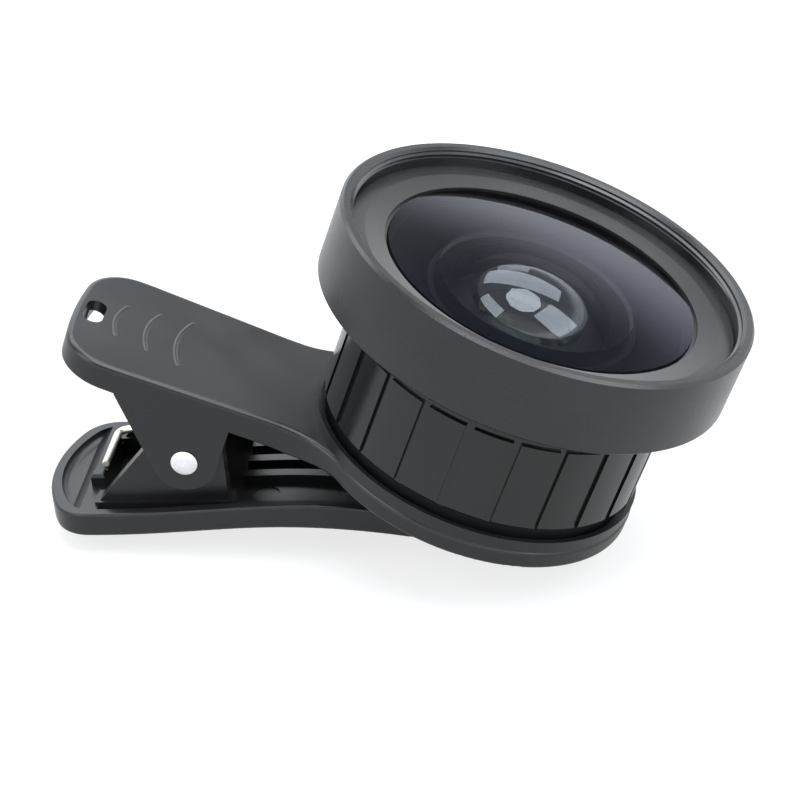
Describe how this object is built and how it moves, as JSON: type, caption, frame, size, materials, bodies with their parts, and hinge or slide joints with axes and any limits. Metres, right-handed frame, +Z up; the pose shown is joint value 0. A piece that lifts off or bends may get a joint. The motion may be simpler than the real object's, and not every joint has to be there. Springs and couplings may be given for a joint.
{
  "type": "clip-on phone lens",
  "caption": "Wide-angle and macro lens screwed into the round head of a sprung clip that grips a phone.",
  "frame": {"origin": "under the middle of the object's bounding box, on the table that it lies on", "axes": "+X runs from the clip's tail towards its head, +Y lies along the hinge pin, +Z is up from the table"},
  "size_m": [0.0877, 0.052, 0.0469],
  "materials": {
    "anodised_ring": "fine bead-blasted black anodising",
    "anodised_barrel": "satin black anodising",
    "coated_glass": "polished, with a purple and green coating",
    "inner_black": "matt black",
    "clip_plastic": "satin black moulding",
    "soft_pad": "soft matt black",
    "plated_rivet": "bright nickel plating",
    "spring_wire": "drawn spring wire"
  },
  "bodies": {
    "upper_arm": {"upper_arm": "clip_plastic", "head_pad": "soft_pad", "hinge_rivet": "plated_rivet", "torsion_spring": "spring_wire"},
    "lower_arm": {"lower_arm": "clip_plastic", "jaw_pad": "soft_pad"},
    "macro_lens": {"macro_barrel": "anodised_barrel", "macro_element": "coated_glass", "macro_retaining_ring": "inner_black"},
    "wide_lens": {"front_ring": "anodised_ring", "front_bezel": "anodised_ring", "front_element": "coated_glass", "grip_barrel": "anodised_barrel", "inner_cell": "inner_black", "field_stop": "inner_black", "middle_element": "coated_glass", "rear_spacer": "inner_black", "rear_element": "coated_glass", "rear_retaining_ring": "inner_black"}
  },
  "joints": [
    {"name": "clip_hinge", "type": "hinge", "parent": "upper_arm", "child": "lower_arm", "pos_m": [-0.02449, 0, 0.01419], "axis": [0, 1, 0], "range_deg": [0, 48], "stiffness_Nm_per_rad": 0.26, "springref_deg": -33.06, "deforming": ["torsion_spring"]},
    {"name": "lens_turn", "type": "hinge", "parent": "upper_arm", "child": "macro_lens", "pos_m": [0.01033, 0, 0.01219], "axis": [0.323, 0, 0.9464], "range_deg": [0, 1080]},
    {"name": "wide_lens_off", "type": "slide", "parent": "macro_lens", "child": "wide_lens", "axis": [0.323, 0, 0.9464], "range_m": [0, 0.012]}
  ]
}
